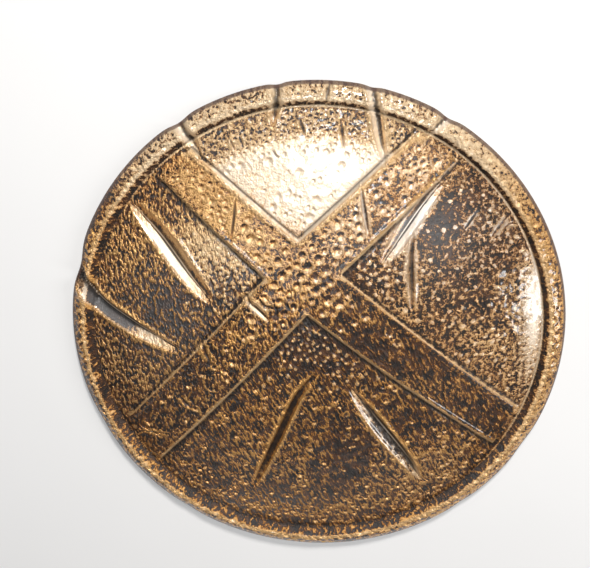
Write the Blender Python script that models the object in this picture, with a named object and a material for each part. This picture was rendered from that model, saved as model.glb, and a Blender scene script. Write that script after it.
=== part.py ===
# A costume copy of a round hoplite shield: one thin moulded shell with a raised rim, two crossing bands
# and moulded battle damage, an arm strap and a hand grip riveted to bosses inside.
# It lies dome up on its rim at z = 0, centred on the origin. Drawn in millimetres, scaled to metres at the end.
import bpy
import math
import numpy as np
from mathutils import Vector
from mathutils.geometry import delaunay_2d_cdt

# Driving dimensions, millimetres
SHIELD_R = 250.0        # outer radius of the rim at its foot
FOOT_W = 5.0            # width of the flat foot under the rim
WALL = 2.6              # moulded wall
DOME_TOP = 48.0         # outside height of the dome
DOME_POWER = 1.9        # fullness of the dome
GROOVE_R, GROOVE_Z = SHIELD_R - 23.4, 5.0     # foot of the dome, inside the rim
CREST_R, CREST_Z = SHIELD_R - 14.5, 12.5      # ridge line of the rim
EDGE_R, EDGE_Z = SHIELD_R - 4.0, 6.8         # outer edge of the rim's face
BAND_RISE = 2.6         # height of the bands' edge strips over the dome
BAND_SINK = 0.8         # how far the field between the strips lies lower
BAND_END_R = GROOVE_R - 5.6      # the bands stop here
SECTORS = 96            # facets round the rim
GAP = 0.3               # clearance between touching pieces

# The arms of the cross: outer corners at the rim, then the corners where the arms meet
CORNERS = {
    "top": (-17.0, 102.1), "right": (25.5, 69.6), "bottom": (-8.2, 28.6), "left": (-50.0, 64.5)}
ARMS = [
    ((-128.1, 189.9), "top", (-161.3, 163.2), "left", ("right", "bottom")),
    ((94.9, 202.1), "top", (137.6, 176.0), "right", ("left", "bottom")),
    ((-194.0, -96.4), "left", (-165.1, -149.2), "bottom", ("top", "right")),
    ((206.8, -83.2), "right", (186.7, -128.5), "bottom", ("top", "left"))]

# Each cut: path, width to its left, width to its right, depth, lip height, and 1 if it runs out over the rim's edge
CUTS = [
    ([(-182, 129), (-153, 98), (-124, 61), (-103, 38)], 13, 9, 5.2, 1.6, 0),
    ([(-252, 70), (-238, 58), (-220, 31), (-186, 9), (-137, -15)], 6, 12, 5.4, 1.8, 1),
    ([(-146, 224), (-129, 204), (-112, 179)], 6, 6, 5.0, 1.4, 1),
    ([(-39, 256), (-38, 236), (-42, 207)], 5, 5, 5.5, 1.2, 1),
    ([(15, 256), (8, 228)], 2.5, 3.5, 2.6, 0.6, 1),
    ([(52, 256), (55, 230), (60, 199), (66, 174)], 6, 6, 5.2, 1.8, 1),
    ([(130, 220), (118, 210), (108, 200)], 5, 5, 4.6, 1.2, 1),
    ([(43, 153), (46, 135), (51, 105)], 4, 4, 3.0, 0.8, 0),
    ([(-77, 142), (-79, 121), (-82, 101)], 3, 3, 2.0, 0.6, 0),
    ([(120, 153), (104, 134), (88, 112), (64, 77)], 9, 12, 3.6, 1.0, 0),
    ([(94, 107), (92, 81), (94, 32)], 3.5, 4.5, 3.4, 1.2, 0),
    ([(4, -29), (-17, -57), (-37, -104), (-66, -174)], 6, 6, 4.4, 1.4, 0),
    ([(35, -48), (63, -90), (94, -136), (109, -166)], 6, 9, 5.0, 1.6, 0),
    ([(-68, 43), (-56, 33), (-45, 22)], 4, 4, 2.2, 0.6, 0)]

# Shallow dents in the outline: bearing in degrees, depth, half width in degrees
DENTS = [(164.6, 3.4, 4.0), (122.5, 2.6, 2.6), (98.6, 1.6, 1.6), (77.8, 1.4, 1.5), (59.6, 2.2, 2.2),
         (-31.0, 1.2, 4.0), (-52.0, 1.0, 2.5), (205.0, 0.9, 5.0), (236.0, 1.1, 3.0)]

# The two holds inside: across position, half span, width, thickness, depth of the sag, rivet positions
STRAP = dict(x=64.0, half=80.0, width=38.0, thick=2.2, low=4.0, tab=16.0)
GRIP = dict(x=-82.0, half=62.0, width=24.0, thick=3.4, low=6.0, tab=15.0)
RIVET_R, RIVET_HOLE_R, RIVET_HEAD_R, RIVET_HEAD_H = 2.0, 2.3, 5.2, 1.8
BOSS_R, BOSS_DROP, BOSS_HOLE = 8.5, 6.5, 4.0


def smooth(value, low, high):
    t = np.clip((value - low) / (high - low), 0.0, 1.0)
    return t * t * (3 - 2 * t)


def crest_radius(x, y):
    # the ridge line wanders a little inward on one side, as on the moulded original
    bearing = np.arctan2(y, x)
    return CREST_R - 2.0 * np.cos(bearing - math.radians(45))


def plain(x, y):
    """Outside height without any carving."""
    r = np.hypot(x, y)
    dome = GROOVE_Z + (DOME_TOP - GROOVE_Z) * (1 - np.clip(r / GROOVE_R, 0, 1) ** DOME_POWER)
    crest = crest_radius(x, y)
    up = GROOVE_Z + (CREST_Z - GROOVE_Z) * smooth(r, GROOVE_R, crest)
    t = np.clip((r - crest) / (EDGE_R - crest), 0, 1)
    face = CREST_Z - (CREST_Z - EDGE_Z) * t ** 1.7
    wall = EDGE_Z * (1 - np.clip((r - EDGE_R) / (SHIELD_R - EDGE_R), 0, 1) ** 1.6)
    rim = np.where(r < crest, up, np.where(r < EDGE_R, face, wall))
    return np.where(r < GROOVE_R, dome, rim)


def side(x, y, a, b):
    """Signed distance to the line a to b, positive on its left."""
    length = math.hypot(b[0] - a[0], b[1] - a[1])
    return ((b[0] - a[0]) * (y - a[1]) - (b[1] - a[1]) * (x - a[0])) / length


def inside_bands(x, y):
    """Distance in from the edge of the crossing bands, negative outside them."""
    best = np.full(np.shape(x), -1e3)
    for outer_a, corner_a, outer_b, corner_b, limit in ARMS:
        middle = ((outer_a[0] + outer_b[0]) / 2, (outer_a[1] + outer_b[1]) / 2)
        d = BAND_END_R - np.hypot(x, y)
        for a, b in ((outer_a, CORNERS[corner_a]), (outer_b, CORNERS[corner_b]),
                     (CORNERS[limit[0]], CORNERS[limit[1]])):
            sign = 1.0 if side(middle[0], middle[1], a, b) > 0 else -1.0
            d = np.minimum(d, sign * side(x, y, a, b))
        best = np.maximum(best, d)
    return best


def along(x, y, path):
    """Nearest signed distance to a path, and the place along it from 0 to 1."""
    lengths = [math.dist(a, b) for a, b in zip(path, path[1:])]
    total, start = sum(lengths), 0.0
    best, signed, place = np.full(np.shape(x), 1e9), np.zeros(np.shape(x)), np.zeros(np.shape(x))
    for (a, b), length in zip(zip(path, path[1:]), lengths):
        dx, dy = (b[0] - a[0]) / length, (b[1] - a[1]) / length
        t = np.clip((x - a[0]) * dx + (y - a[1]) * dy, 0, length)
        ex, ey = x - a[0] - t * dx, y - a[1] - t * dy
        d = np.hypot(ex, ey)
        near = d < best
        best = np.where(near, d, best)
        signed = np.where(near, np.where(dx * ey - dy * ex > 0, d, -d), signed)
        place = np.where(near, (start + t) / total, place)
        start += length
    return signed, place


def swell(place, open_end):
    """How full a cut is along its length: tapered at both ends, or open where it leaves the rim."""
    taper = np.clip(np.sin(np.pi * np.clip(place, 0, 1)), 0, 1) ** 0.55
    if open_end:
        return np.where(place < 0.5, 1.0, taper)
    return taper


def carving(x, y):
    """Depth of the cuts and height of their lips."""
    total = np.zeros(np.shape(x))
    for path, left, right, depth, lip, open_end in CUTS:
        d, place = along(x, y, path)
        full = swell(place, open_end)
        width = np.where(d > 0, left, right) * (0.25 + 0.75 * full)
        inside = np.clip(1 - np.abs(d) / width, 0, 1)
        edge = np.exp(-((np.abs(d) - width * 1.05) / 3.0) ** 2)
        total = total - depth * full * inside ** 0.85 + lip * full * edge * (inside <= 0)
    return total


def outside(x, y):
    """The carved outside surface."""
    r = np.hypot(x, y)
    d = inside_bands(x, y)
    band = BAND_RISE * smooth(d, 0.0, 2.2) - BAND_SINK * smooth(d, 5.0, 6.8) - 0.7 * np.exp(-((d + 1.6) / 1.5) ** 2)
    cut = carving(x, y)
    z = plain(x, y) + band * (r < BAND_END_R + 8) + cut
    z = np.where(r > GROOVE_R - 2, np.maximum(z, np.minimum(plain(x, y), 3.4)), z)
    return np.where(r > SHIELD_R - 0.5, 0.0, z)


def deepest(x, y):
    """The deepest carving in a neighbourhood, so that the wall is never cut through."""
    low = carving(x, y)
    for reach in (5.0, 9.0, 13.0):
        for k in range(8):
            a = math.pi * k / 4
            low = np.minimum(low, carving(x + reach * math.cos(a), y + reach * math.sin(a)))
    return np.minimum(low, 0.0)


def bosses():
    for hold in (STRAP, GRIP):
        for y in (hold["half"] - hold["tab"] / 2, -hold["half"] + hold["tab"] / 2):
            yield hold, hold["x"], y


def boss_face(hold):
    y = hold["half"] - hold["tab"] / 2
    return float(plain(np.array(hold["x"]), np.array(y))) - WALL - BOSS_DROP


def under(x, y):
    """The inside surface: one wall below the outside, lower under the cuts and down to the bosses' faces."""
    r = np.hypot(x, y)
    z = plain(x, y) - WALL * (1.0 + 0.25 * smooth(r, 0.66 * GROOVE_R, GROOVE_R)) + deepest(x, y)
    lip = SHIELD_R - FOOT_W
    z = np.where(r > lip - 6, np.minimum(z, 4.2 * np.clip((lip - r) / 3.0, 0, 1) + 3.0 * (r < lip - 3)), z)
    z = np.maximum(z, 0.6)
    for hold, bx, by in bosses():
        away = np.hypot(x - bx, y - by)
        face = boss_face(hold)
        z = np.where(away < BOSS_R + 0.05, face, z)
        z = np.where(away < RIVET_HOLE_R + 0.05, face + BOSS_HOLE, z)
    return np.where(r > lip - 0.5, 0.0, z)


def dented(x, y):
    """Pulls the rim in at its dents."""
    r, bearing = np.hypot(x, y), np.degrees(np.arctan2(y, x))
    pull = np.zeros(np.shape(x))
    for at, depth, half in DENTS:
        off = (bearing - at + 180) % 360 - 180
        pull = pull + depth * np.exp(-(off / half) ** 2)
    k = 1 - pull * smooth(r, SHIELD_R - 14, SHIELD_R - 5) / np.maximum(r, 1)
    return x * k, y * k


def triangulate(points, edges):
    verts, _, faces, _, _, _ = delaunay_2d_cdt([Vector(p) for p in points], edges, [], 0, 1e-4)
    xy = np.array([tuple(v) for v in verts])
    tris = np.array([tuple(f) for f in faces])
    area = np.cross(xy[tris[:, 1]] - xy[tris[:, 0]], xy[tris[:, 2]] - xy[tris[:, 0]])
    tris = tris[np.abs(area) > 1e-4]
    area = area[np.abs(area) > 1e-4]
    tris[area < 0] = tris[area < 0][:, ::-1]
    return xy, tris


def ring(radius, count, turn=0.0, centre=(0.0, 0.0)):
    a = 2 * math.pi * (np.arange(count) + turn) / count
    return [(centre[0] + radius * math.cos(t), centre[1] + radius * math.sin(t)) for t in a]


def boundary(tris):
    edges = {}
    for a, b, c in tris:
        for e in ((a, b), (b, c), (c, a)):
            edges[tuple(sorted(e))] = edges.get(tuple(sorted(e)), 0) + 1
    out = []
    for a, b, c in tris:
        for e in ((a, b), (b, c), (c, a)):
            if edges[tuple(sorted(e))] == 1:
                out.append(e)
    return out


def make(name, verts, faces, colour, roughness, metallic=0.0):
    mesh = bpy.data.meshes.new(name)
    mesh.from_pydata([tuple(float(c) * 0.001 for c in v) for v in verts], [], [tuple(int(i) for i in f) for f in faces])
    mesh.validate()
    mesh.update()
    material = bpy.data.materials.new(name)
    material.use_nodes = True
    shader = material.node_tree.nodes["Principled BSDF"]
    shader.inputs["Base Color"].default_value = (*colour, 1.0)
    shader.inputs["Roughness"].default_value = roughness
    shader.inputs["Metallic"].default_value = metallic
    mesh.materials.append(material)
    thing = bpy.data.objects.new(name, mesh)
    bpy.context.scene.collection.objects.link(thing)
    return thing


def outside_points():
    points, edges = [], []

    def chain(path, closed=False):
        start = len(points)
        points.extend(path)
        count = len(path)
        for i in range(count - (0 if closed else 1)):
            edges.append((start + i, start + (i + 1) % count))

    for radius in (SHIELD_R, SHIELD_R - 1.4, EDGE_R, EDGE_R - 4.5):
        chain(ring(radius, SECTORS), True)
    crest = [(float(crest_radius(x, y)) * x, float(crest_radius(x, y)) * y) for x, y in ring(1.0, SECTORS)]
    chain(crest, True)
    chain([(x * (0.5 + 0.5 * GROOVE_R / math.hypot(x, y)), y * (0.5 + 0.5 * GROOVE_R / math.hypot(x, y)))
           for x, y in crest], True)
    chain(ring(GROOVE_R, SECTORS), True)
    # the bands' edges, each as three lines: foot, top of the edge strip and its inner side
    taken = []
    for outer_a, corner_a, outer_b, corner_b, _ in ARMS:
        middle = ((outer_a[0] + outer_b[0]) / 2, (outer_a[1] + outer_b[1]) / 2)
        for a, b in ((outer_a, CORNERS[corner_a]), (outer_b, CORNERS[corner_b])):
            sign = 1.0 if side(middle[0], middle[1], a, b) > 0 else -1.0
            length = math.dist(a, b)
            dx, dy = (b[0] - a[0]) / length, (b[1] - a[1]) / length
            for offset in (0.0, 2.2, 6.2):
                nx, ny = -dy * sign * offset, dx * sign * offset
                path = [(a[0] + nx + dx * t, a[1] + ny + dy * t) for t in np.linspace(3, length, 13)]
                path = [p for p in path if math.hypot(*p) < BAND_END_R]
                chain(path)
                taken.extend(path)
    # the cuts, each as a floor line and two sides
    for path, left, right, depth, lip, open_end in CUTS:
        lengths = [math.dist(a, b) for a, b in zip(path, path[1:])]
        total = sum(lengths)
        count = max(3, int(total / 13))
        for offset in (1.0, 0.0, -1.0):
            line = []
            for k in range(count + 1):
                s, i = total * k / count, 0
                while i < len(lengths) - 1 and s > lengths[i]:
                    s -= lengths[i]
                    i += 1
                a, b = path[i], path[i + 1]
                dx, dy = (b[0] - a[0]) / lengths[i], (b[1] - a[1]) / lengths[i]
                full = float(swell(np.array(k / count), open_end))
                width = (left if offset > 0 else right) * (0.25 + 0.75 * full) * offset
                p = (a[0] + dx * s - dy * width, a[1] + dy * s + dx * width)
                if math.hypot(*p) < SHIELD_R - 2.0:
                    line.append(p)
            chain(line)
            taken.extend(line)
    # an even field over the dome wherever nothing else is near
    taken = np.array(taken)
    step = 15.0
    for row in range(-20, 21):
        for col in range(-20, 21):
            p = (step * (col + 0.5 * (row % 2)), step * 0.866 * row)
            if math.hypot(*p) > GROOVE_R - 9:
                continue
            if np.min(np.hypot(taken[:, 0] - p[0], taken[:, 1] - p[1])) < 7.0:
                continue
            points.append(p)
    points.extend(ring(BAND_END_R, SECTORS, 0.5))
    points.extend(ring(BAND_END_R - 9, SECTORS // 2, 0.5))
    return points, edges


def under_points():
    points, edges = [], []

    def chain(path):
        start = len(points)
        points.extend(path)
        for i in range(len(path)):
            edges.append((start + i, start + (i + 1) % len(path)))

    lip = SHIELD_R - FOOT_W
    chain(ring(lip, SECTORS))
    for radius in (lip - 3.0, CREST_R - 1.0, GROOVE_R + 1.9, GROOVE_R - 4.6):
        chain(ring(radius, SECTORS // 2))
    rings = []
    for hold, bx, by in bosses():
        for radius, count in ((RIVET_HOLE_R, 12), (RIVET_HOLE_R + 0.2, 12), (BOSS_R, 16), (BOSS_R + 0.3, 16)):
            chain(ring(radius, count, 0.0, (bx, by)))
        rings.append((bx, by))
    step = 17.0
    for row in range(-18, 19):
        for col in range(-18, 19):
            p = (step * (col + 0.5 * (row % 2)), step * 0.866 * row)
            if math.hypot(*p) > GROOVE_R - 14 or min(math.dist(p, c) for c in rings) < BOSS_R + 5:
                continue
            points.append(p)
    return points, edges


def shell():
    xy, tris = triangulate(*outside_points())
    top = np.column_stack([*dented(xy[:, 0], xy[:, 1]), outside(xy[:, 0], xy[:, 1])])
    uxy, utris = triangulate(*under_points())
    low = np.column_stack([*dented(uxy[:, 0], uxy[:, 1]), under(uxy[:, 0], uxy[:, 1])])
    verts = np.vstack([top, low])
    faces = [tuple(t) for t in tris] + [tuple(int(i) + len(top) for i in t[::-1]) for t in utris]

    def loop(points, shift, rows):
        edge = boundary(rows)
        ids = sorted({a for a, _ in edge}, key=lambda i: math.atan2(points[i][1], points[i][0]))
        return [i + shift for i in ids]

    a, b = loop(xy, 0, tris), loop(uxy, len(top), utris)
    n = len(a)
    assert n == len(b) == SECTORS
    # both loops start at the same bearing
    for i in range(n):
        j = (i + 1) % n
        faces += [(a[j], a[i], b[i]), (a[j], b[i], b[j])]
    return make("shell", verts, faces, (0.20, 0.13, 0.06), 0.4, 0.6)


def hold_height(hold, x, y):
    """Top and bottom of a strap: flat tabs at both ends, a slack arch between them."""
    face = boss_face(hold) - GAP
    inner = hold["half"] - hold["tab"]
    t = np.clip(np.abs(y) / inner, 0, 1)
    drop = face - hold["low"] - hold["thick"]
    z = face - drop * (1 - smooth(t, 0.45, 1.0))
    slope = drop * np.where((t > 0.45) & (t < 1), 1.5 / (0.55 * inner), 0.0) * 4 * np.clip((t - 0.45) / 0.55, 0, 1) * \
        np.clip(1 - (t - 0.45) / 0.55, 0, 1)
    thick = hold["thick"] * np.sqrt(1 + slope ** 2)
    return z, np.maximum(z - thick, 1.0)


def hold_solid(name, hold, colour, roughness):
    half, w = hold["half"], hold["width"] / 2
    inner = half - hold["tab"]
    rows = sorted({round(v, 3) for v in
                   [half, inner] + [inner * s for s in (0.45, 0.52, 0.6, 0.68, 0.76, 0.84, 0.92, 0.2, 0.0)]})
    ys = sorted({-v for v in rows} | set(rows))
    cut = 4.0
    points, edges = [], []
    outline = [(w - cut, half), (w, half - cut)] + [(w, y) for y in ys[::-1] if abs(y) < half - cut] + \
        [(w, -half + cut), (w - cut, -half), (-w + cut, -half), (-w, -half + cut)] + \
        [(-w, y) for y in ys if abs(y) < half - cut] + [(-w, half - cut), (-w + cut, half)]
    points += [(hold["x"] + p[0], p[1]) for p in outline]
    edges += [(i, (i + 1) % len(outline)) for i in range(len(outline))]
    index = {(round(p[0], 3), round(p[1], 3)): i for i, p in enumerate(outline)}
    for y in ys:
        if (round(w, 3), round(y, 3)) in index:
            edges.append((index[(round(w, 3), round(y, 3))], index[(round(-w, 3), round(y, 3))]))
    centres = [(hold["x"], s * (half - hold["tab"] / 2)) for s in (1, -1)]
    for centre in centres:
        start = len(points)
        points += ring(RIVET_HOLE_R, 12, 0.0, centre)
        edges += [(start + i, start + (i + 1) % 12) for i in range(12)]
    xy, tris = triangulate(points, edges)
    middle = xy[tris].mean(axis=1)
    keep = np.ones(len(tris), bool)
    for centre in centres:
        keep &= np.hypot(middle[:, 0] - centre[0], middle[:, 1] - centre[1]) > RIVET_HOLE_R * 0.95
    local = np.abs(middle[:, 0] - hold["x"]) + np.abs(middle[:, 1])
    keep &= local < w + half - cut + 1e-6
    tris = tris[keep]
    z_top, z_low = hold_height(hold, xy[:, 0], xy[:, 1])
    n = len(xy)
    verts = np.vstack([np.column_stack([xy, z_top]), np.column_stack([xy, z_low])])
    faces = [tuple(t) for t in tris] + [tuple(int(i) + n for i in t[::-1]) for t in tris]
    for a, b in boundary(tris):
        faces += [(b, a, a + n), (b, a + n, b + n)]
    return make(name, verts, faces, colour, roughness)


def rivet(name, hold, y):
    """A domed head under the strap with its stem up through the strap into the boss."""
    face = boss_face(hold)
    seat = face - GAP - hold["thick"] - GAP
    profile = [(0.0, seat - RIVET_HEAD_H), (RIVET_HEAD_R * 0.62, seat - RIVET_HEAD_H * 0.8),
               (RIVET_HEAD_R, seat - RIVET_HEAD_H * 0.25), (RIVET_HEAD_R, seat), (RIVET_R, seat),
               (RIVET_R, face + BOSS_HOLE - GAP), (0.0, face + BOSS_HOLE - GAP)]
    count = 12
    verts, faces = [(hold["x"], y, profile[0][1])], []
    for radius, z in profile[1:-1]:
        verts += [(px, py, z) for px, py in ring(radius, count, 0.0, (hold["x"], y))]
    verts.append((hold["x"], y, profile[-1][1]))
    last = len(verts) - 1
    for i in range(count):
        j = (i + 1) % count
        faces.append((0, 1 + j, 1 + i))
        for k in range(len(profile) - 3):
            a, b = 1 + k * count, 1 + (k + 1) * count
            faces += [(a + i, a + j, b + j), (a + i, b + j, b + i)]
        top = 1 + (len(profile) - 3) * count
        faces.append((last, top + i, top + j))
    return make(name, verts, faces, (0.25, 0.25, 0.25), 0.35, 0.9)


for thing in list(bpy.data.objects):
    bpy.data.objects.remove(thing, do_unlink=True)
shell()
hold_solid("arm_strap", STRAP, (0.012, 0.012, 0.012), 0.7)
hold_solid("hand_grip", GRIP, (0.014, 0.013, 0.012), 0.6)
for label, hold in (("strap", STRAP), ("grip", GRIP)):
    for number, y in ((1, hold["half"] - hold["tab"] / 2), (2, -hold["half"] + hold["tab"] / 2)):
        rivet(f"{label}_rivet_{number}", hold, y)
for thing in bpy.data.objects:
    print(thing.name, len(thing.data.polygons), [round(v * 1000, 2) for v in thing.dimensions])
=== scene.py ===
# The dressed model of a costume hoplite shield: a painted plastic shell with a raised rim, two crossing bands
# and moulded battle damage, lying dome up on its rim, with its arm strap and hand grip inside.
import math

import bpy
import numpy as np
from mathutils import Matrix, Vector, noise
from mathutils.geometry import delaunay_2d_cdt


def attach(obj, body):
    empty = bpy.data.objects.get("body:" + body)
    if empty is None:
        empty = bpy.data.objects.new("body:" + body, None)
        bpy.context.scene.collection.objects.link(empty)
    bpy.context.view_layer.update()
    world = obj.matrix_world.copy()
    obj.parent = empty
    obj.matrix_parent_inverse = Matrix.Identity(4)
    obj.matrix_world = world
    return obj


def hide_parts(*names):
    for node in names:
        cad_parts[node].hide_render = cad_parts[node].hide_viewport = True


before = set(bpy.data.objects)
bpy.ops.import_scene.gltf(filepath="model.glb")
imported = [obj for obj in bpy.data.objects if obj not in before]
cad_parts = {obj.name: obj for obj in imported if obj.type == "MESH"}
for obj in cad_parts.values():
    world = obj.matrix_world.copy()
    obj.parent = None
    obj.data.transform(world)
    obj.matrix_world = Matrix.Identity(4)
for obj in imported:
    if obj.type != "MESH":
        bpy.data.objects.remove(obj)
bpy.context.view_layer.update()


# The shell's outside
# One thin plastic moulding, drawn in millimetres: a shallow dome inside a raised rim with a rolled edge.
# The bands, the cuts and their lips, the pits and the dents in the rim are all part of the mould.
MM = 0.001
SHIELD_R, FOOT_W, WALL = 250.0, 5.0, 2.6
DOME_TOP, DOME_POWER = 48.0, 1.9
GROOVE_R, GROOVE_Z = 226.6, 5.0
CREST_R, CREST_Z, CREST_SHIFT, CREST_BEARING = 235.5, 12.5, 2.0, 45
EDGE_R, EDGE_Z = 246.0, 6.8
FACE_POWER, EDGE_POWER = 1.7, 1.6
HIGHEST, LOWEST_RIM = 49.9, 3.4
BAND_END_R = 221.0
BAND_RISE, BAND_SINK, BAND_SCORE = 2.6, 0.8, 0.9

# The cross: its corners, then each arm as the outer end and the corner of its one edge, the same for its other
# edge, and the two corners that it ends between
CROSS = {"top": (-17.0, 102.1), "right": (25.5, 69.6), "bottom": (-8.2, 28.6), "left": (-50.0, 64.5)}
CROSS_MIDDLE = (-12.5, 66.0)
ARMS = [
    ((-128.1, 189.9), "top", (-161.3, 163.2), "left", ("right", "bottom")),
    ((94.9, 202.1), "top", (137.6, 176.0), "right", ("left", "bottom")),
    ((-194.0, -96.4), "left", (-165.1, -149.2), "bottom", ("top", "right")),
    ((206.8, -83.2), "right", (186.7, -128.5), "bottom", ("top", "left"))]

# Path of each large cut, width to its left and right, depth, lip, and 1 where it runs out over the rim
BIG_CUTS = [
    ([(-182, 129), (-153, 98), (-124, 61), (-103, 38)], 13, 9, 5.2, 1.6, 0),
    ([(-252, 70), (-238, 58), (-220, 31), (-186, 9), (-137, -15)], 6, 12, 5.4, 1.8, 1),
    ([(-146, 224), (-129, 204), (-112, 179)], 6, 6, 5.0, 1.4, 1),
    ([(-39, 256), (-38, 236), (-42, 207)], 5, 5, 5.5, 1.2, 1),
    ([(15, 256), (8, 228)], 2.5, 3.5, 2.6, 0.6, 1),
    ([(52, 256), (55, 230), (60, 199), (66, 174)], 6, 6, 5.2, 1.8, 1),
    ([(130, 220), (118, 210), (108, 200)], 5, 5, 4.6, 1.2, 1),
    ([(43, 153), (46, 135), (51, 105)], 2.4, 2.8, 2.4, 0.8, 0),
    ([(-77, 142), (-79, 121), (-82, 101)], 1.7, 1.7, 1.6, 0.6, 0),
    ([(120, 153), (104, 134), (88, 112), (64, 77)], 8, 10, 3.6, 1.0, 0),
    ([(94, 107), (92, 81), (94, 32)], 3.5, 3.5, 3.4, 1.4, 0),
    ([(4, -29), (-17, -57), (-37, -104), (-66, -174)], 5, 5, 4.2, 1.6, 0),
    ([(35, -48), (63, -90), (94, -136), (109, -166)], 6, 9, 5.0, 1.6, 0),
    ([(-68, 43), (-56, 33), (-45, 22)], 4, 4, 2.2, 0.6, 0)]

# Small nicks and scratches, too fine for the solid
SMALL_CUTS = [
    ([(23, 215), (26, 188)], 2.2, 2.2, 1.5, 0.5, 0),
    ([(-16, 215), (-11, 200)], 2.0, 2.0, 1.2, 0.5, 0),
    ([(-83, 194), (-78, 184)], 1.8, 1.8, 1.1, 0.4, 0),
    ([(-74, 197), (-70, 187)], 1.8, 1.8, 1.1, 0.4, 0),
    ([(-42, 186), (-38, 180), (-35, 179)], 2.0, 2.0, 1.2, 0.4, 0),
    ([(156, 127), (143, 109)], 2.0, 2.0, 1.0, 0.4, 0),
    ([(184, 118), (170, 100)], 2.0, 2.0, 1.0, 0.4, 0),
    ([(192, 113), (183, 109)], 1.8, 1.8, 0.9, 0.3, 0),
    ([(-113, -2), (-110, -14), (-106, -24)], 3.0, 3.0, 1.6, 0.6, 0),
    ([(-140, -66), (-128, -79)], 3.2, 3.2, 1.5, 0.4, 0),
    ([(-189, -115), (-150, -114)], 1.3, 1.3, 0.7, 0.3, 0),
    ([(-184, -108), (-158, -120)], 1.2, 1.2, 0.7, 0.3, 0),
    ([(-70, 50), (-64, 42), (-66, 34)], 2.6, 2.6, 1.6, 0.8, 0),
    ([(-55, 46), (-50, 38), (-40, 36)], 2.6, 2.6, 1.6, 0.8, 0)]
ALL_CUTS = BIG_CUTS + SMALL_CUTS

# Dents in the rim: bearing in degrees, depth, and half width in degrees
DENTS = [(164.6, 3.4, 4.0), (122.5, 2.6, 2.6), (98.6, 1.6, 1.6), (77.8, 1.4, 1.5), (59.6, 2.2, 2.2),
         (-31.0, 1.2, 4.0), (-52.0, 1.0, 2.5), (205.0, 0.9, 5.0), (236.0, 1.1, 3.0)]


def smooth(value, low, high):
    """0 at low, 1 at high, eased between."""
    t = np.clip((value - low) / (high - low), 0.0, 1.0)
    return t * t * (3 - 2 * t)


def bell(value, middle, half):
    """1 at the middle, falling away softly on both sides."""
    return np.exp(-((value - middle) / half) ** 2)


def crest_radius(x, y):
    return CREST_R - CREST_SHIFT * np.cos(np.arctan2(y, x) - math.radians(CREST_BEARING))


def plain(x, y):
    """Height of the dome and rim before any carving."""
    r = np.hypot(x, y)
    dome = GROOVE_Z + (DOME_TOP - GROOVE_Z) * (1 - np.clip(r / GROOVE_R, 0, 1) ** DOME_POWER)
    crest = crest_radius(x, y)
    up = GROOVE_Z + (CREST_Z - GROOVE_Z) * smooth(r, GROOVE_R, crest)
    face = CREST_Z - (CREST_Z - EDGE_Z) * np.clip((r - crest) / (EDGE_R - crest), 0, 1) ** FACE_POWER
    wall = EDGE_Z * (1 - np.clip((r - EDGE_R) / (SHIELD_R - EDGE_R), 0, 1) ** EDGE_POWER)
    return np.where(r < GROOVE_R, dome, np.where(r < crest, up, np.where(r < EDGE_R, face, wall)))


def side(x, y, a, b):
    """Distance to the left of the line from a to b."""
    length = math.hypot(b[0] - a[0], b[1] - a[1])
    return ((b[0] - a[0]) * (y - a[1]) - (b[1] - a[1]) * (x - a[0])) / length


def arm_edges(arm):
    """The two long edges and the end of an arm, each with 1 or -1 for the side that the arm lies on."""
    outer_a, corner_a, outer_b, corner_b, limit = arm
    middle = ((outer_a[0] + outer_b[0]) / 2, (outer_a[1] + outer_b[1]) / 2)
    edges = [(outer_a, CROSS[corner_a]), (outer_b, CROSS[corner_b]), (CROSS[limit[0]], CROSS[limit[1]])]
    return [(a, b, 1.0 if side(*middle, a, b) > 0 else -1.0) for a, b in edges]


def arm_depth(x, y, arm):
    """How far in from the edges of one arm of the cross, negative outside it."""
    depth = BAND_END_R - np.hypot(x, y)
    for a, b, sign in arm_edges(arm):
        depth = np.minimum(depth, sign * side(x, y, a, b))
    return depth


def bands_depth(x, y):
    return np.maximum.reduce([arm_depth(x, y, arm) for arm in ARMS])


def curved(path, step=3.0):
    """A smooth line through a few points, as closely spaced points."""
    p = np.array(path, dtype=float)
    p = np.vstack([2 * p[0] - p[1], p, 2 * p[-1] - p[-2]])
    line = []
    for a, b, c, d in zip(p, p[1:], p[2:], p[3:]):
        for t in np.arange(0, 1, step / math.dist(b, c)):
            line.append(0.5 * (2 * b + (c - a) * t + (2 * a - 5 * b + 4 * c - d) * t ** 2
                               + (3 * b - a - 3 * c + d) * t ** 3))
    return np.array(line + [p[-2]])


def along(x, y, path):
    """Signed distance from a path, and how far along it from 0 to 1."""
    path = curved(path)
    lengths = [math.dist(a, b) for a, b in zip(path, path[1:])]
    total, start = sum(lengths), 0.0
    best, signed, place = np.full(np.shape(x), 1e9), np.zeros(np.shape(x)), np.zeros(np.shape(x))
    for (a, b), length in zip(zip(path, path[1:]), lengths):
        dx, dy = (b[0] - a[0]) / length, (b[1] - a[1]) / length
        t = np.clip((x - a[0]) * dx + (y - a[1]) * dy, 0, length)
        ex, ey = x - a[0] - t * dx, y - a[1] - t * dy
        d = np.hypot(ex, ey)
        near = d < best
        best = np.where(near, d, best)
        signed = np.where(near, np.where(dx * ey - dy * ex > 0, d, -d), signed)
        place = np.where(near, (start + t) / total, place)
        start += length
    return signed, place


def swell(place, open_end):
    """How full a cut is along its length, 0 at its tips; one that runs out over the rim starts full."""
    taper = np.clip(np.sin(np.pi * np.clip(place, 0, 1)), 0, 1) ** 0.55
    return np.where(place < 0.5, 1.0, taper) if open_end else taper


def half_width(width, full):
    """Width on one side of a cut, which keeps a quarter of it at the tips."""
    return width * (0.25 + 0.75 * full)


# Walls that look this way, up and to the right as the camera sees them, get a painted highlight and the others
# painted shade, changing between the two shares
BRIGHT_WAY, BRIGHT_FROM, BRIGHT_TO = (0.29, 0.96), 0.15, 0.45
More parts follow.
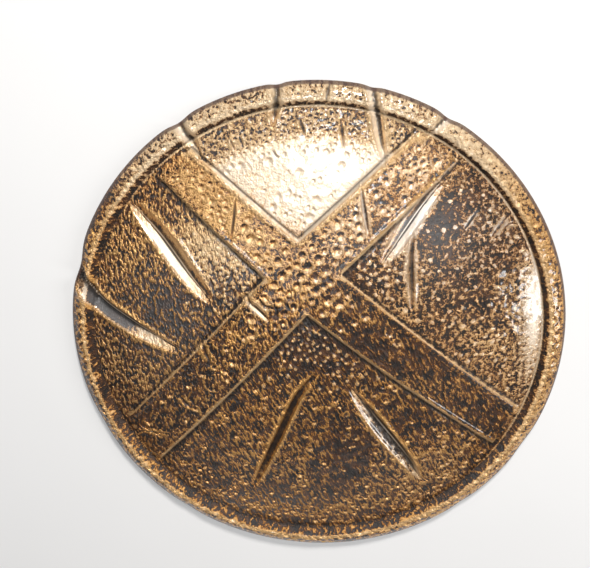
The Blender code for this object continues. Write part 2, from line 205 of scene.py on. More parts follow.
# Cuts wider in all than the first number get a thin painted reflection beside their middle on the shaded side,
# so far off and so wide
PAINTED_GLINT_FROM, PAINTED_GLINT_AT, PAINTED_GLINT_HALF = 14, 1.7, 0.55
LIP_HALF, NARROW = 2.2, 7


def carving(x, y, cuts):
    """Depth of the cuts, height of their lips, where the floor is, which walls take painted highlight and which
    painted shade, and where a line of painted reflection runs.
    """
    down, up, floor, bright, dark, painted_glint = [np.zeros(np.shape(x)) for _ in range(6)]
    for path, left, right, depth, lip, open_end in cuts:
        d, place = along(x, y, path)
        off = np.abs(d)
        full = swell(place, open_end)
        width = half_width(np.where(d > 0, left, right), full)
        inside = np.clip(1 - off / width, 0, 1)
        down = down + depth * full * inside ** 0.9
        floor = np.maximum(floor, inside * np.sqrt(full) * (1 + 0.12 * (width < NARROW)))
        run_x, run_y = np.subtract(path[-1], path[0]) / math.dist(path[-1], path[0])
        facing = np.sign(d) * (BRIGHT_WAY[0] * run_y - BRIGHT_WAY[1] * run_x)
        lit = smooth(facing, BRIGHT_FROM, BRIGHT_TO)
        there = smooth(inside, 0.0, 0.12) * full
        bright = np.maximum(bright, there * lit)
        dark = np.maximum(dark, there * (1 - lit))
        if left + right > PAINTED_GLINT_FROM:
            painted_glint = np.maximum(painted_glint, full * bell(off, PAINTED_GLINT_AT, PAINTED_GLINT_HALF) * (facing < BRIGHT_FROM))
        up = up + lip * full * bell(off, width * 1.08, LIP_HALF) * (off > width * 0.9)
    return down, up, floor, bright, dark, painted_glint


def near_cuts(x, y, cuts, reach):
    near = np.zeros(np.shape(x), dtype=bool)
    for path, left, right, _, _, open_end in cuts:
        d, place = along(x, y, path)
        near |= np.abs(d) < half_width(np.where(d > 0, left, right), swell(place, open_end)) + reach
    return near


def wobble(x, y, size, seed):
    """Smooth noise between -1 and 1 over the plan."""
    return np.array([noise.noise(Vector((a / size, b / size, seed))) for a, b in zip(x, y)])


def dented(x, y):
    """The plan with the rim pushed in at its dents, fading out a little way in from the edge."""
    r, bearing = np.hypot(x, y), np.degrees(np.arctan2(y, x))
    pull = np.zeros(np.shape(x))
    for at, depth, half in DENTS:
        off = (bearing - at + 180) % 360 - 180
        pull = pull + depth * bell(off, 0.0, half)
    k = 1 - pull * smooth(r, SHIELD_R - 14, SHIELD_R - 5) / np.maximum(r, 1)
    return x * k, y * k


def spot(x, y, at_x, at_y, across, tall, turn=0.0):
    """A soft round or oval patch."""
    c, s = math.cos(math.radians(turn)), math.sin(math.radians(turn))
    a, b = (x - at_x) * c + (y - at_y) * s, -(x - at_x) * s + (y - at_y) * c
    return np.exp(-((a / across) ** 2 + (b / tall) ** 2))


# Where a band begins to count, and the bearings from the middle of the cross where one quarter of the dome
# gives way to the next
BAND_BLEND = (0.2, 2.0)
QUARTERS, QUARTER_BLEND = (44, 133, 227, 317), 5


def regions(x, y):
    """The rim, the four arms of the cross and the four quarters of the open dome, each from 0 to 1."""
    r, own = np.hypot(x, y), [arm_depth(x, y, arm) for arm in ARMS]
    depth = np.maximum.reduce(own)
    on_band = (r < BAND_END_R) * smooth(depth, *BAND_BLEND)
    bearing = np.degrees(np.arctan2(y - CROSS_MIDDLE[1], x - CROSS_MIDDLE[0])) % 360
    rim = smooth(r, GROOVE_R - 0.5, GROOVE_R + 1.5)
    open_dome = (1 - on_band) * (1 - rim)
    past = [smooth(bearing, start, start + QUARTER_BLEND) for start in QUARTERS]
    top, left, low = [past[k] * (1 - past[k + 1]) for k in range(3)]
    parts = {"rim": rim, "top": open_dome * top, "left": open_dome * left, "low": open_dome * low,
             "right": open_dome * (1 - np.clip(top + left + low, 0, 1))}
    for name, mine in zip(("arm_a", "arm_b", "arm_c", "arm_d"), own):
        parts[name] = on_band * smooth(mine, -1.0, 3.0) * (mine > depth - 1.0)
    return parts


# Where each kind of pit crowds, as the chance that it is kept there
def centre_crowd(x, y, at):
    return spot(x, y, -12, 62, 44, 50) * (at["arm_a"] + at["arm_b"] + at["arm_c"] + at["arm_d"])


def band_crowd(x, y, at):
    return at["arm_a"] + 0.8 * at["arm_b"] + 0.15 * at["arm_c"]


def top_margin_crowd(x, y, at):
    margin = smooth(np.hypot(x, y), 178, 205)
    return at["top"] * margin + 0.16 * at["top"] * spot(x, y, -14, 122, 26, 22) + 0.008 * at["top"]


def rim_crowd(x, y, at):
    return at["rim"] * smooth(np.hypot(x, y), 232, 236) * (np.hypot(x, y) < 243)


def corner_crowd(x, y, at):
    return (at["right"] * spot(x, y, 44, 58, 22, 34) + at["left"] * spot(x, y, -84, 64, 32, 26)
            + at["low"] * spot(x, y, 0, 2, 48, 26))


def low_margin_crowd(x, y, at):
    return at["low"] * smooth(np.hypot(x, y), 180, 205) + 0.2 * at["low"]


def right_crowd(x, y, at):
    return at["right"] * (0.4 + spot(x, y, 150, -10, 50, 60))


# Pits: how many, smallest and largest radius, depth (negative for a wart), ring, and where they crowd
PITS = [(54, 3.1, 5.0, 1.4, 0.50, centre_crowd), (66, 2.3, 4.6, 1.3, 0.45, band_crowd),
        (330, 1.7, 2.6, 0.9, 0.45, top_margin_crowd), (12, 3.4, 4.4, 1.2, 0.4, top_margin_crowd),
        (170, 2.2, 3.4, 0.9, 0.35, rim_crowd), (230, 1.9, 2.9, -1.6, 0.0, corner_crowd),
        (240, 1.8, 2.9, 0.8, 0.45, low_margin_crowd), (80, 1.8, 2.8, -0.9, 0.0, right_crowd)]
PIT_SEED, DARTS, DART_REACH, PIT_SPACING = 11, 26000, 246, 1.12


def scattered_pits():
    """Throws darts where a kind of pit crowds, and keeps those clear of each other, of cuts and of edges."""
    random = np.random.default_rng(PIT_SEED)
    kept = np.zeros((0, 3))
    found = []
    for wanted, smallest, largest, depth, rim_height, crowd in PITS:
        x, y = random.uniform(-DART_REACH, DART_REACH, (2, DARTS))
        size = smallest + (largest - smallest) * random.uniform(0, 1, DARTS) ** 1.6
        chance = random.uniform(0, 1, DARTS)
        r, edge = np.hypot(x, y), bands_depth(x, y)
        clear = (r < 244) & (np.abs(r - GROOVE_R) > size * 1.3 + 1.0)
        clear &= (edge < -2.5 - size * 1.3) | (edge > 6.0 + size * 1.2)
        x, y, size, chance = x[clear], y[clear], size[clear], chance[clear]
        likely = chance < crowd(x, y, regions(x, y))
        x, y, size = x[likely], y[likely], size[likely]
        free = ~(near_cuts(x, y, BIG_CUTS, 4.5) | near_cuts(x, y, SMALL_CUTS, 3.0))
        for a, b, s in zip(x[free], y[free], size[free]):
            if wanted and (np.hypot(kept[:, 0] - a, kept[:, 1] - b) > (kept[:, 2] + s) * PIT_SPACING).all():
                kept = np.vstack([kept, (a, b, s)])
                found.append((a, b, s, depth * (0.7 + 0.3 * s / largest), rim_height))
                wanted -= 1
    return found


def ring(radius, sides, turn=0.0, centre=(0.0, 0.0)):
    """Evenly spaced points round a circle."""
    a = 2 * math.pi * (np.arange(sides) + turn) / sides
    return np.column_stack([centre[0] + radius * np.cos(a), centre[1] + radius * np.sin(a)])


def net(size, limit):
    """An even triangle net of points inside a circle."""
    rise = size * 0.866
    rows = int(limit / rise) + 1
    cols = int(limit / size) + 2
    row, col = np.meshgrid(np.arange(-rows, rows + 1), np.arange(-cols, cols + 1), indexing="ij")
    x, y = size * (col + 0.5 * (row % 2)), rise * row
    keep = np.hypot(x, y) < limit
    return np.column_stack([x[keep], y[keep]])


# Rows of points along a band edge, as depths in from it, and beside a cut, as shares of its width on that side
# for narrow, middling and wide cuts, with the two rows on its lip
BAND_ROWS, BAND_ROW_STEP = (-3.0, -2.0, -1.0, 0.0, 0.9, 1.8, 2.9, 4.6, 5.6, 6.6), 1.7
CUT_ROWS = [(4, (0.0, 0.5, 1.0)), (8, (0.0, 0.25, 0.5, 0.75, 1.0)),
            (math.inf, (0.0, 0.08, 0.16, 0.28, 0.45, 0.6, 0.8, 1.0))]
LIP_ROWS, CUT_ROW_STEP = (1.1, 2.4), 1.8


def band_rows():
    """Points in rows along each band edge, so that the edge runs true through the net."""
    rows = []
    for arm in ARMS:
        for outer, corner, sign in arm_edges(arm)[:2]:
            length = math.dist(outer, corner)
            dx, dy = (corner[0] - outer[0]) / length, (corner[1] - outer[1]) / length
            t = np.arange(2, length, BAND_ROW_STEP)
            for offset in BAND_ROWS:
                rows.append(np.column_stack([outer[0] + dx * t - dy * sign * offset,
                                             outer[1] + dy * t + dx * sign * offset]))
    return np.vstack(rows)


def cut_rows(cuts):
    """Points in rows along each cut, from lip to lip."""
    rows = []
    for path, left, right, _, _, open_end in cuts:
        line = curved(path, CUT_ROW_STEP)
        run = np.gradient(line, axis=0)
        run /= np.hypot(run[:, 0], run[:, 1])[:, None]
        across = np.column_stack([-run[:, 1], run[:, 0]])
        gone = np.concatenate([[0], np.cumsum(np.hypot(*np.diff(line, axis=0).T))])
        full = swell(gone / gone[-1], open_end)
        for sign, width in ((1, left), (-1, right)):
            local = half_width(width, full)
            shares = next(shares for below, shares in CUT_ROWS if width < below)
            for share in shares:
                if share or sign > 0:
                    rows.append(line + sign * (local * share)[:, None] * across)
            for beyond in LIP_ROWS:
                rows.append(line + sign * (local + beyond)[:, None] * across)
    return np.vstack(rows)


WELD, SLIVER = 1e-4, 1e-5


def triangles(points):
    """Joins points of the plan into triangles that all wind the same way."""
    verts, _, faces, _, _, _ = delaunay_2d_cdt([Vector(p) for p in points.tolist()], [], [], 0, WELD)
    xy = np.array([tuple(v) for v in verts])
    tris = np.array([tuple(f) for f in faces])
    a, b, c = xy[tris[:, 0]], xy[tris[:, 1]], xy[tris[:, 2]]
    area = (b[:, 0] - a[:, 0]) * (c[:, 1] - a[:, 1]) - (b[:, 1] - a[:, 1]) * (c[:, 0] - a[:, 0])
    tris[area < 0] = tris[area < 0][:, ::-1]
    return xy, tris[np.abs(area) > SLIVER]


RIM_SECTORS = 768
RIM_ROWS = [SHIELD_R, 249.6, 249.0, 248.2, 247.4, 246.6, 245.6, 244.4, 243.0, 241.6, 240.2, 238.8, 237.6,
            236.4, 235.2, 234.0, 232.8, 231.6, 230.4, 229.2, 228.2, 227.3, 226.6, 225.8, 224.9]
NET_STEP, QUICK_NET_STEP, NET_LIMIT = 1.80, 3.4, 223.8
# Rings of points round a pit: share of its radius, points, and turn
PIT_RINGS = [(0.5, 6, 0.5), (0.9, 9, 0.0), (1.25, 10, 0.5)]

pits = scattered_pits()
cut_points = cut_rows(ALL_CUTS)
band_points = band_rows()
band_points = band_points[~near_cuts(band_points[:, 0], band_points[:, 1], ALL_CUTS, 3.0)]
fine = net(NET_STEP, NET_LIMIT)
# the even net gives way where an edge, a cut or a pit has points of its own
fine_edge = bands_depth(fine[:, 0], fine[:, 1])
fine = fine[(fine_edge < -3.6) | (fine_edge > 7.2)]
fine = fine[~near_cuts(fine[:, 0], fine[:, 1], ALL_CUTS, 3.2)]
pit_points = []
for a, b, size, _, _ in pits:
    if math.hypot(a, b) < NET_LIMIT - 4:
        fine = fine[np.hypot(fine[:, 0] - a, fine[:, 1] - b) > size * 1.5]
        pit_points.append([(a, b)])
        pit_points += [ring(size * share, sides, turn, (a, b)) for share, sides, turn in PIT_RINGS]
inner_part = np.vstack([cut_points, band_points, fine] + pit_points)
inner_part = inner_part[np.hypot(inner_part[:, 0], inner_part[:, 1]) < NET_LIMIT]
plan, outside_tris = triangles(np.vstack([ring(r, RIM_SECTORS) for r in RIM_ROWS] + [inner_part]))
X, Y = plan[:, 0], plan[:, 1]
R = np.hypot(X, Y)
outer_foot = R > SHIELD_R - 0.2

# How far the band edges sway to each side, and the hammered unevenness in three sizes: height, size and seed
SWAY, SWAY_SIZE = 0.25, 26
HAMMERED = [(0.40, 17, 1.0), (0.28, 7, 2.0), (0.16, 3.6, 5.0)]
sway_x, sway_y = SWAY * wobble(X, Y, SWAY_SIZE, 3.0), SWAY * wobble(X, Y, SWAY_SIZE, 8.0)
band = bands_depth(X + sway_x, Y + sway_y)
big_down, big_up, big_floor, painted_lit_wall, painted_shade_wall, painted_reflection_line = carving(X, Y, BIG_CUTS)
small_down, small_up, small_floor = carving(X, Y, SMALL_CUTS)[:3]
pit_height, pit_bowl, pit_ring, pit_painted_light, wart = [np.zeros(len(X)) for _ in range(5)]
for a, b, size, depth, rim_height in pits:
    near = np.nonzero((np.abs(X - a) < size * 2) & (np.abs(Y - b) < size * 2))[0]
    away = np.hypot(X[near] - a, Y[near] - b) / size
    bowl = np.clip(1 - away ** 2, 0, 1)
    lifted = bell(away, 1.12, 0.22)
    pit_height[near] += rim_height * lifted - depth * bowl
    if depth > 0:
        pit_bowl[near] = np.maximum(pit_bowl[near], bowl)
        pit_ring[near] = np.maximum(pit_ring[near], lifted)
        # the upper side of each pit gets painted shade and the lower side a painted highlight, as if lit from
        # the top
        pit_painted_light[near] += (1 - smooth(away, 0.95, 1.3)) * (0.9 * (Y[near] - b) - 0.4 * (X[near] - a)) / size
    else:
        wart[near] = np.maximum(wart[near], bowl)

# each band is a raised strip with a score along its foot, round a slightly sunken field
band_form = BAND_RISE * smooth(band, 0.0, 2.0) - BAND_SINK * smooth(band, 4.8, 6.6) \
    - BAND_SCORE * bell(band, -1.5, 1.3)
height = plain(X, Y) + band_form * (R < BAND_END_R + 8) - big_down + big_up - small_down + small_up + pit_height
hammered = sum(high * wobble(X, Y, size, seed) for high, size, seed in HAMMERED)
height = height + hammered * smooth(R, SHIELD_R, SHIELD_R - 6) * smooth(np.abs(R - GROOVE_R), 0.0, 4.0) \
    * (1 - 0.8 * np.maximum(painted_lit_wall, painted_shade_wall))
height = np.where(R > GROOVE_R - 2, np.maximum(height, np.minimum(plain(X, Y), LOWEST_RIM)), height)
height = np.where(outer_foot, 0.0, np.minimum(height, HIGHEST))
outside_xyz = np.column_stack([*dented(X, Y), height])


# The shell's inside
# The same wall seen from behind: smooth, with a soft bulge under each deep cut, and four low round bosses
# moulded on for the rivets of the strap and the grip. It isn't in the photograph, so it is kept plain.
BOSS_R, BOSS_DROP, BOSS_HOLE, RIVET_HOLE_R = 8.5, 6.5, 4.0, 2.3
# The strap and the grip that the bosses carry: place, half length, width, thickness, height of the lowest face
# over the floor, and length of the riveted tabs
STRAP = dict(x=64.0, half=80.0, width=38.0, thick=2.2, low=4.0, tab=16.0)
GRIP = dict(x=-82.0, half=62.0, width=24.0, thick=3.4, low=6.0, tab=15.0)


def rivet_y(hold):
    return hold["half"] - hold["tab"] / 2


def boss_face(hold):
    """Height of the flat face of the two bosses that carry a strap."""
    return float(plain(np.array(hold["x"]), np.array(rivet_y(hold)))) - WALL - BOSS_DROP


def rivet_places(hold):
    return [(hold["x"], rivet_y(hold)), (hold["x"], -rivet_y(hold))]


INNER_SECTORS, INNER_NET_STEP, INNER_NET_LIMIT = 256, 6.0, 218.0
INNER_ROWS = (240, 238, 236, 234, 232, 230, 228, 226, 224, 221)
BOSS_RINGS = [(RIVET_HOLE_R, 32), (RIVET_HOLE_R + 0.25, 32), (BOSS_R - 0.6, 48), (BOSS_R, 48),
              (BOSS_R + 0.5, 48), (BOSS_R + 1.6, 48)]
LEAST_INSIDE = 0.6

lip = SHIELD_R - FOOT_W
inner_points = np.vstack([ring(r, RIM_SECTORS) for r in (lip, lip - 1.0, lip - 2.0, lip - 3.0)]
                         + [ring(r, INNER_SECTORS) for r in INNER_ROWS])
boss_places = [(hold, *place) for hold in (STRAP, GRIP) for place in rivet_places(hold)]
inner_net = net(INNER_NET_STEP, INNER_NET_LIMIT)
for _, bx, by in boss_places:
    inner_points = np.vstack([inner_points] + [ring(r, sides, 0.0, (bx, by)) for r, sides in BOSS_RINGS])
    inner_net = inner_net[np.hypot(inner_net[:, 0] - bx, inner_net[:, 1] - by) > BOSS_R + 2.6]
inner_plan, inside_tris = triangles(np.vstack([inner_points, inner_net]))
U, V = inner_plan[:, 0], inner_plan[:, 1]
inner_r = np.hypot(U, V)
inner_foot = inner_r > lip - 0.3

# the wall keeps its thickness under a cut by bulging inwards all round it
bulge = -carving(U, V, BIG_CUTS)[0]
for reach in (4.0, 8.0, 12.0):
    for k in range(8):
        a = math.pi * k / 4
        bulge = np.minimum(bulge, -carving(U + reach * math.cos(a), V + reach * math.sin(a), BIG_CUTS)[0])
inner_z = plain(U, V) - WALL * (1.0 + 0.25 * smooth(inner_r, 0.66 * GROOVE_R, GROOVE_R)) + bulge
# inside the foot the wall rises steeply, then eases into the hollow of the rim
lip_rise = 4.2 * np.clip((lip - inner_r) / 3.0, 0, 1) + 3.0 * smooth(lip - inner_r, 3.2, 5.0)
inner_z = np.where(inner_r > lip - 6, np.minimum(inner_z, lip_rise), inner_z)
inner_z = np.maximum(inner_z, LEAST_INSIDE)
for hold, bx, by in boss_places:
    away = np.hypot(U - bx, V - by)
    face = boss_face(hold)
    collar = (away > BOSS_R + 0.05) & (away < BOSS_R + 0.8)
    inner_z = np.where(away < BOSS_R + 0.05, face + 0.4 * (away > BOSS_R - 0.3), inner_z)
    inner_z = np.where(collar, np.maximum(inner_z - 0.8, face + 1.0), inner_z)
    inner_z = np.where(away < RIVET_HOLE_R + 0.1, face + BOSS_HOLE, inner_z)
inner_z = np.where(inner_foot, 0.0, inner_z)
inside_xyz = np.column_stack([*dented(U, V), inner_z])


def round_loop(on_foot, points):
    """Indices of the points on the foot, in order of their bearing."""
    return sorted(np.nonzero(on_foot)[0].tolist(), key=lambda i: math.atan2(points[i][1], points[i][0]))


def placed(name, data):
    """A new object in the scene."""
    made = bpy.data.objects.new(name, data)
    bpy.context.scene.collection.objects.link(made)
    return made


# the flat foot that the shield lies on joins the outside to the inside
outside_count = len(outside_xyz)
outer_loop = round_loop(outer_foot, plan)
inner_loop = [i + outside_count for i in round_loop(inner_foot, inner_plan)]
foot = [(next_out, out, into, next_in) for out, next_out, into, next_in in
        zip(outer_loop, outer_loop[1:] + outer_loop[:1], inner_loop, inner_loop[1:] + inner_loop[:1])]
shell_mesh = bpy.data.meshes.new("shell_body")
shell_mesh.from_pydata((np.vstack([outside_xyz, inside_xyz]) * MM).tolist(), [],
                       outside_tris.tolist() + (inside_tris[:, ::-1] + outside_count).tolist() + foot)
shell_mesh.shade_smooth()
shell = placed("shell_body", shell_mesh)


# The shell's paint
# A black-brown ground lies in every hollow, gold is dry-brushed over what stands proud, and a clear gloss
# lacquer covers most of it. The marks below say how much gold each part takes and how its grain runs, and they
# also paint in light and shade: painted highlights, painted shade and shadow, and a grey painted sheen.
def mark(name, values):
    """Keeps a value from 0 to 1 at each point of the outside, for the paint to read."""
    data = np.zeros(len(shell_mesh.vertices), dtype=np.float32)
    data[:outside_count] = np.clip(values, 0, 1)
    shell_mesh.attributes.new(name, "FLOAT", "POINT").data.foreach_set("value", data)


def patch(*form):
    """A soft patch on the outside: where its middle is, its reach across and up, and its turn."""
    return spot(X, Y, *form)


def towards(degrees, low, high):
    """Rises from 0 to 1 round the shield towards one bearing."""
    return smooth(np.cos(np.radians(bearing - degrees)), low, high)


def edge_distance(corner, outer_ends):
    """Distance from the nearer of the two band edges that meet at a corner of the cross."""
    return np.minimum.reduce([np.abs(side(X, Y, outer, CROSS[corner])) for outer in outer_ends])


at = regions(X, Y)
bearing = np.degrees(np.arctan2(Y, X)) % 360
in_bands = R < BAND_END_R
arms = np.clip(at["arm_a"] + at["arm_b"] + at["arm_c"] + at["arm_d"], 0, 1)
arms_ab = arms * smooth(Y, 22, 104)
arms_cd = arms - arms_ab
band_b = arms_ab * smooth(X, -30, 40)
on_band = smooth(band, *BAND_BLEND) * in_bands
field = on_band * smooth(band, 5.2, 7.0)
strip = on_band - field
upper_strip = strip * (edge_distance("top", (ARMS[0][0], ARMS[1][0])) < 8)
lower_edge = edge_distance("bottom", (ARMS[2][2], ARMS[3][2]))
# the top of the rim takes painted highlight and its inner slope painted shade, most at the top; the right side
# of the rim is made paler and its slope darker
rim_top = at["rim"] * towards(92, 0.45, 0.85)
rim_right = at["rim"] * towards(5, 0.2, 0.8)
low_left_rim = at["rim"] * towards(215, 0.0, 0.6)
rim_slope = smooth(R, GROOVE_R + 0.2, GROOVE_R + 1.2) * (1 - smooth(R - crest_radius(X, Y), -2.4, -0.2))
low_slope = rim_slope * smooth(-Y, 60, 150)
top_margin = smooth(R, 188, 206)
# the top quarter under the shine, painted paler as a highlight with a grey painted sheen
painted_shine = at["top"] * (1 - smooth(R, 186, 206))

# lines of painted highlight along the crest of the rim, the foot of the dome and the band edges, painted shadow
# beside the bands, and a dark line in the groove
crest_line = bell(R - crest_radius(X, Y), 0.0, 2.2)
groove_line = bell(R - GROOVE_R, 1.4, 1.1)
foot_line = bell(R - GROOVE_R, -0.2, 0.9) * towards(50, -0.3, 0.5)
edge_glint = bell(band, 1.1, 0.65) * in_bands
lower_line = bell(band, 2.1, 0.8) * (lower_edge < 4.5) * in_bands
edge_shadow = bell(band, -1.7, 1.3 + 0.9 * (lower_edge < 6)) * (R < BAND_END_R + 2)
wall = smooth(R, EDGE_R + 0.3, EDGE_R + 1.6)

# patches that differ from what lies round them
notch = patch(-239, 56, 12, 17)
slit = patch(93, 72, 9, 45) + patch(-34, -100, 50, 90)
dull_cut = np.clip(1.3 * patch(-205, 25, 45, 40), 0, 1)
streaky = np.clip(1.4 * patch(76, -112, 34, 66), 0, 1)
# a painted highlight along the right edge of the dome
right_edge_highlight = at["right"] * patch(216, 25, 11, 66)
corners = (at["left"] * patch(-84, 64, 30, 26) + at["right"] * patch(44, 58, 22, 34)
           + at["low"] * patch(0, 2, 46, 26))
# the walls of the cuts take painted highlight and painted shade; beside a shaded wall the floor is painted
# black as shade too
painted_lit_wall = painted_lit_wall * (1 - 0.85 * notch) * (1 - 0.8 * np.clip(slit, 0, 1))
painted_shade_floor = painted_shade_wall * smooth(big_floor, 0.32 - 0.24 * streaky, 0.58 - 0.34 * streaky)

# how much gold is brushed on: the four quarters of the dome, the bands and the rim, then lines, lips and pits;
# painted highlight adds gold on edge lines, lit cut walls and the lower side of pits, and painted shade takes
# it away on the inner slope of the rim, shaded walls and the upper side of pits
cover = (
    at["top"] * (0.88 - 0.34 * top_margin - 0.06 * patch(-70, 172, 26, 18) - 0.22 * patch(-62, 132, 30, 26)
                 - 0.2 * patch(-20, 112, 22, 16))
    + at["left"] * (0.49 + 0.38 * patch(-95, 92, 36, 28, -35) - 0.10 * patch(-150, 20, 40, 40)
                    + 0.10 * patch(-188, 85, 26, 40))
    + at["low"] * (0.42 + 0.05 * patch(-90, -120, 50, 40) + 0.14 * patch(115, -150, 60, 45)
                   + 0.12 * patch(-20, -200, 100, 16) - 0.12 * patch(38, -125, 26, 34)
                   + 0.12 * patch(0, -105, 12, 44, -28) + 0.10 * patch(-60, -75, 22, 34, -20))
    + at["right"] * (0.53 - 0.12 * patch(118, 112, 34, 34) - 0.12 * patch(150, 40, 34, 22)
                     + 0.30 * patch(216, 25, 12, 70))
    + arms_ab * (0.66 + 0.10 * upper_strip) - 0.10 * band_b * field + arms_cd * 0.43
    + 0.10 * arms_cd * patch(-12, 50, 40, 30) - 0.18 * arms_ab * patch(-12, 66, 46, 40) - 0.16 * corners
    + at["rim"] * 0.51 + 0.12 * rim_top + 0.12 * rim_right
    - rim_slope * (0.10 + 0.12 * rim_top + 0.20 * rim_right) - 0.04 * low_left_rim
    + 0.42 * crest_line + 0.75 * edge_glint + 0.9 * lower_line
    + 0.5 * np.clip(big_up / 1.2, 0, 1) + 0.4 * np.clip(small_up / 0.4, 0, 1)
    + 0.30 * pit_ring + 0.62 * wart + 0.5 * foot_line
    + painted_lit_wall * (0.8 - 0.95 * dull_cut - 0.76 * streaky) + painted_reflection_line
    + 0.08 * at["arm_c"] * patch(-75, 5, 46, 46) - 0.04 * at["arm_d"] * patch(60, 20, 50, 50) + 0.06 * low_slope
    + 0.40 * painted_shade_wall * (1 - smooth(big_floor, 0.10, 0.50))
    - 0.31 * np.clip(pit_painted_light, 0, 1) + 0.35 * np.clip(-pit_painted_light, 0, 1))
# how pale the gold is, mostly painted highlight (the top quarter under the shine, the upper bands, the top of
# the rim, edge lines, lit cut walls, pit sides, warts, the right edge); where it takes near white painted
# highlight; and where the ground takes a grey painted sheen
cream = (
    0.75 * at["top"] + 0.50 * np.clip(-pit_painted_light, 0, 1) + 0.5 * wart + arms_ab * (0.25 + 0.25 * upper_strip)
    + 0.08 * arms_cd + 0.20 * at["left"] + 0.65 * at["left"] * patch(-98, 90, 40, 32, -35)
    + 0.25 * at["right"] + 0.75 * right_edge_highlight + at["low"] * (0.02 + 0.12 * patch(115, -150, 60, 45))
    + 0.02 * at["rim"] + 0.90 * rim_top + 0.15 * rim_right + 0.4 * crest_line + 0.7 * foot_line
    + painted_lit_wall * 0.75 + painted_reflection_line + 0.45 * edge_glint + 0.55 * lower_line + 0.6 * patch(-57, 36, 12, 9))
painted_white_highlight = (
    0.45 * painted_shine + 0.30 * band_b * field + 0.8 * painted_reflection_line + 0.6 * right_edge_highlight + 0.10 * rim_top
    + at["right"] * (0.10 + 0.65 * patch(135, 108, 55, 46))
    + painted_lit_wall * (0.35 + 0.5 * patch(75, -110, 40, 70) + 0.4 * patch(95, 115, 40, 50) + 0.4 * dull_cut))
painted_sheen = (
    0.75 * at["right"] * patch(112, 108, 42, 46) + 0.5 * at["left"] * patch(-150, 20, 50, 60) + 0.9 * painted_shine
    + 0.45 * at["left"] * patch(-95, 100, 40, 40) + 0.35 * at["top"] * top_margin
    + painted_lit_wall * dull_cut + 0.5 * band_b + 0.7 * at["low"] * patch(-60, -198, 75, 20) + 0.4 * low_slope)
# where there is no gloss, where the grain is calm, and which hollows are black: the black ground in the floors
# of the cuts, more of it as painted shade on the shaded side, painted shadow beside the bands, and a dark line
# in the groove
dull = rim_slope + 0.5 * groove_line + 0.8 * wall + 0.8 * edge_shadow + 0.5 * painted_shade_floor
calm = np.clip(
    0.3 * crest_line + upper_strip * 0.35 * arms_ab + 0.9 * edge_glint + lower_line + 0.4 * wart
    + painted_lit_wall * (1 - streaky) + painted_shade_wall + small_floor + 0.6 * foot_line
    + at["right"] * patch(218, 25, 8, 70) + 0.5 * at["right"] * patch(115, 115, 34, 40) + 0.7 * pit_bowl
    + 0.8 * at["top"] * (1 - smooth(R, 190, 208)) + 0.45 * field * arms_ab, 0, 1)
cut_floor = smooth(big_floor, 0.86 - 0.20 * dull_cut - 0.38 * streaky, 0.94 - 0.14 * dull_cut - 0.34 * streaky)
hollow = (
    edge_shadow
    + (cut_floor + 0.9 * notch * smooth(big_floor, 0.1, 0.4) + 0.95 * painted_shade_floor) * (1 - painted_reflection_line)
    + smooth(small_floor, 0.45, 0.85) + 0.6 * groove_line)
MARKS = {
    "upright": np.clip(at["left"] + 0.8 * field * at["arm_c"], 0, 1),
    "slanting": np.clip(at["low"] + 0.9 * field * at["arm_d"], 0, 1),
    "cover": cover, "cream": cream, "calm": calm, "hollow": hollow, "wall": wall, "painted_white_highlight": painted_white_highlight,
    "painted_sheen": painted_sheen, "dull": dull}
for name, values in MARKS.items():
    mark(name, values)

# Which output of a node is read: the object's own coordinates, an attribute's value, and a mixed colour
OBJECT_PLACE, ATTRIBUTE_VALUE, MIXED_COLOUR = 3, 2, 2


class Paint:
    """A shader socket, so that plain Python sums build its Math nodes."""
    tree = None

    def __init__(self, socket):
        self.socket = socket

    @classmethod
    def node(cls, kind, settings=None, out=0, **values):
        """Makes a node; a socket is named with _ for a space, or i and its number."""
        made = cls.tree.nodes.new(kind)
        for key, value in (settings or {}).items():
            setattr(made, key, value)
        for key, value in values.items():
            numbered = key[0] == "i" and key[1:].isdigit()
            socket = made.inputs[int(key[1:]) if numbered else key.replace("_", " ")]
            if isinstance(value, Paint):
                cls.tree.links.new(value.socket, socket)
            else:
                socket.default_value = value
        return cls(made.outputs[out])

    def math(self, operation, other=0.0, first=None):
        a, b = (first, self) if first is not None else (self, other)
        return Paint.node("ShaderNodeMath", {"operation": operation}, i0=a, i1=b)

    def __add__(self, other):
        return self.math("ADD", other)

    __radd__ = __add__

    def __mul__(self, other):
        return self.math("MULTIPLY", other)

    __rmul__ = __mul__

    def __sub__(self, other):
        return self.math("SUBTRACT", other)

    def __rsub__(self, other):
        return self.math("SUBTRACT", first=other)

    def step(self, start, end):
        """0 at start, 1 at end, eased between."""
        return Paint.node("ShaderNodeMapRange", {"interpolation_type": "SMOOTHSTEP"},
                          Value=self, From_Min=start, From_Max=end)

    def mix(self, a, b):
        """Colour a where this is 0, b where it is 1."""
        a, b = [v if isinstance(v, Paint) else (*v, 1.0) for v in (a, b)]
        return Paint.node("ShaderNodeMix", {"data_type": "RGBA"}, out=MIXED_COLOUR, i0=self, i6=a, i7=b)


def new_finish(name):
    made = bpy.data.materials.new(name)
    made.use_nodes = True
    Paint.tree = made.node_tree
    return made, made.node_tree.nodes["Principled BSDF"]


def coat(shader, name, value):
    """Sets or links one socket of the shader."""
    if isinstance(value, Paint):
        Paint.tree.links.new(value.socket, shader.inputs[name])
    else:
        shader.inputs[name].default_value = value


def grain(scale, detail=3.0, rough=0.6, shift=0.0, vector=None):
    """Noise over the plan of the object, moved aside by a shift so that no two lie alike."""
    where = vector or Paint.node("ShaderNodeMapping", Vector=place, Location=(shift, shift * 0.7, 0.0))
    return Paint.node("ShaderNodeTexNoise", {"noise_dimensions": "2D"}, Vector=where, Scale=scale,
                      Detail=detail, Roughness=rough)


